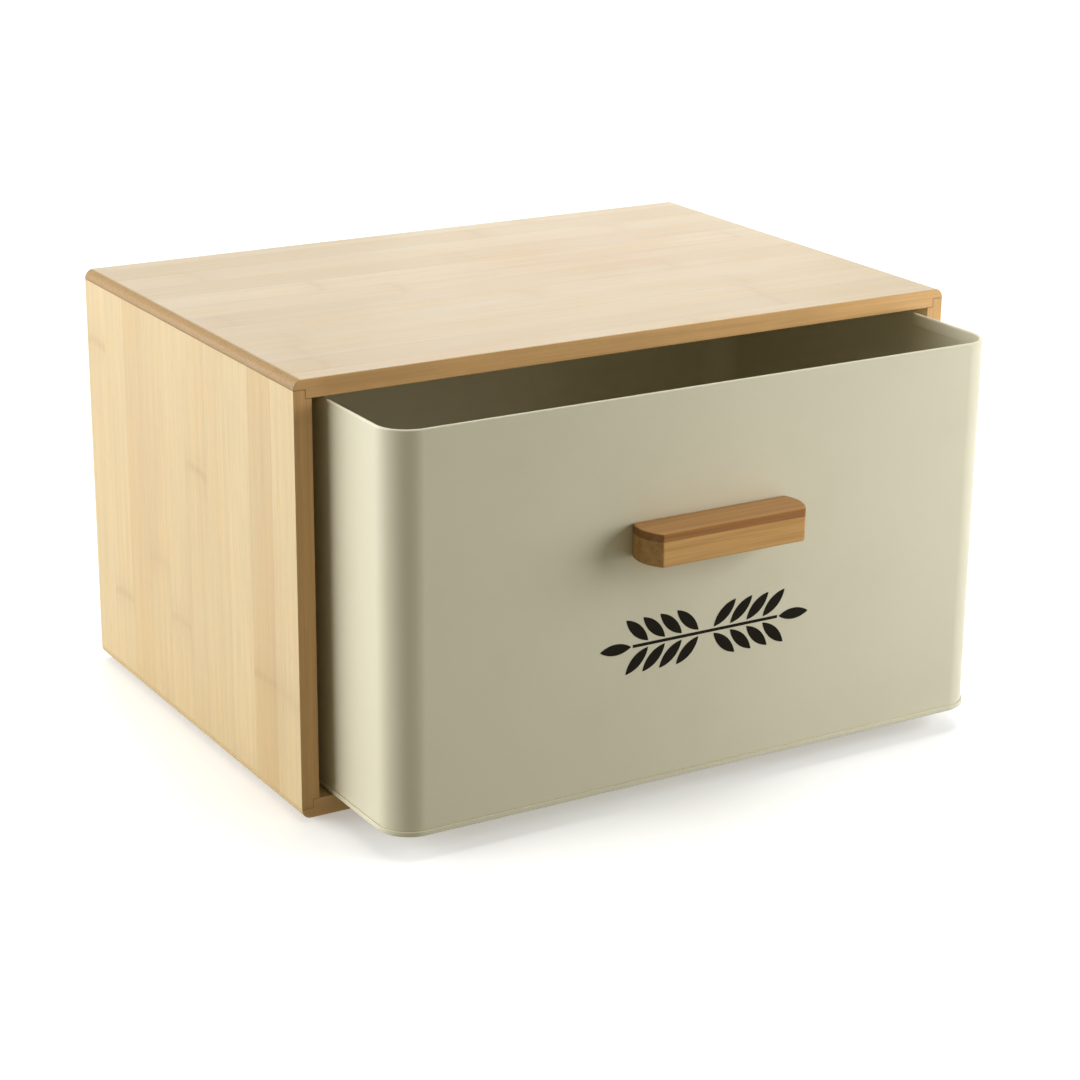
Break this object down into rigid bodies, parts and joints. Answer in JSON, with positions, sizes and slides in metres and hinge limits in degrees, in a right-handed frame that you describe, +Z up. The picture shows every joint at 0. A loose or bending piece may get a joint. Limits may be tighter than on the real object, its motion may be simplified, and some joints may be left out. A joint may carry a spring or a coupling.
{
  "type": "bread bin",
  "caption": "Open-fronted bamboo case on low feet, with a deep enamelled steel drawer that slides out of the front by a bamboo bar handle.",
  "frame": {"origin": "centre of the case's footprint, on the surface that the feet stand on", "axes": "+X to the right when facing the drawer, the open front and the handle face -Y, +Z up"},
  "size_m": [0.34, 0.308, 0.2],
  "materials": {
    "bamboo_case": "satin lacquered bamboo",
    "bamboo_back": "satin lacquered bamboo",
    "bamboo_handle": "satin lacquered bamboo, carbonised",
    "cream_enamel": "satin powder coat on sheet steel",
    "black_print": "satin printed ink",
    "rubber_foot": "matte grey rubber",
    "clear_buffer": "soft translucent polyurethane",
    "glide_plastic": "slippery white plastic",
    "zinc_steel": "zinc plated"
  },
  "bodies": {
    "case": {"case_top": "bamboo_case", "case_bottom": "bamboo_case", "case_side_left": "bamboo_case", "case_side_right": "bamboo_case", "case_back": "bamboo_back", "foot_front_left": "rubber_foot", "foot_front_right": "rubber_foot", "foot_back_left": "rubber_foot", "foot_back_right": "rubber_foot", "buffer_left": "clear_buffer", "buffer_right": "clear_buffer"},
    "drawer": {"drawer_wall": "cream_enamel", "drawer_base": "cream_enamel", "glide_front_left": "glide_plastic", "glide_front_right": "glide_plastic", "glide_back_left": "glide_plastic", "glide_back_right": "glide_plastic", "handle": "bamboo_handle", "handle_screws": "zinc_steel", "handle_washers": "zinc_steel", "front_motif": "black_print"}
  },
  "joints": [
    {"name": "drawer_slide", "type": "slide", "parent": "case", "child": "drawer", "axis": [0, -1, 0], "range_m": [-0.058, 0.122]}
  ]
}
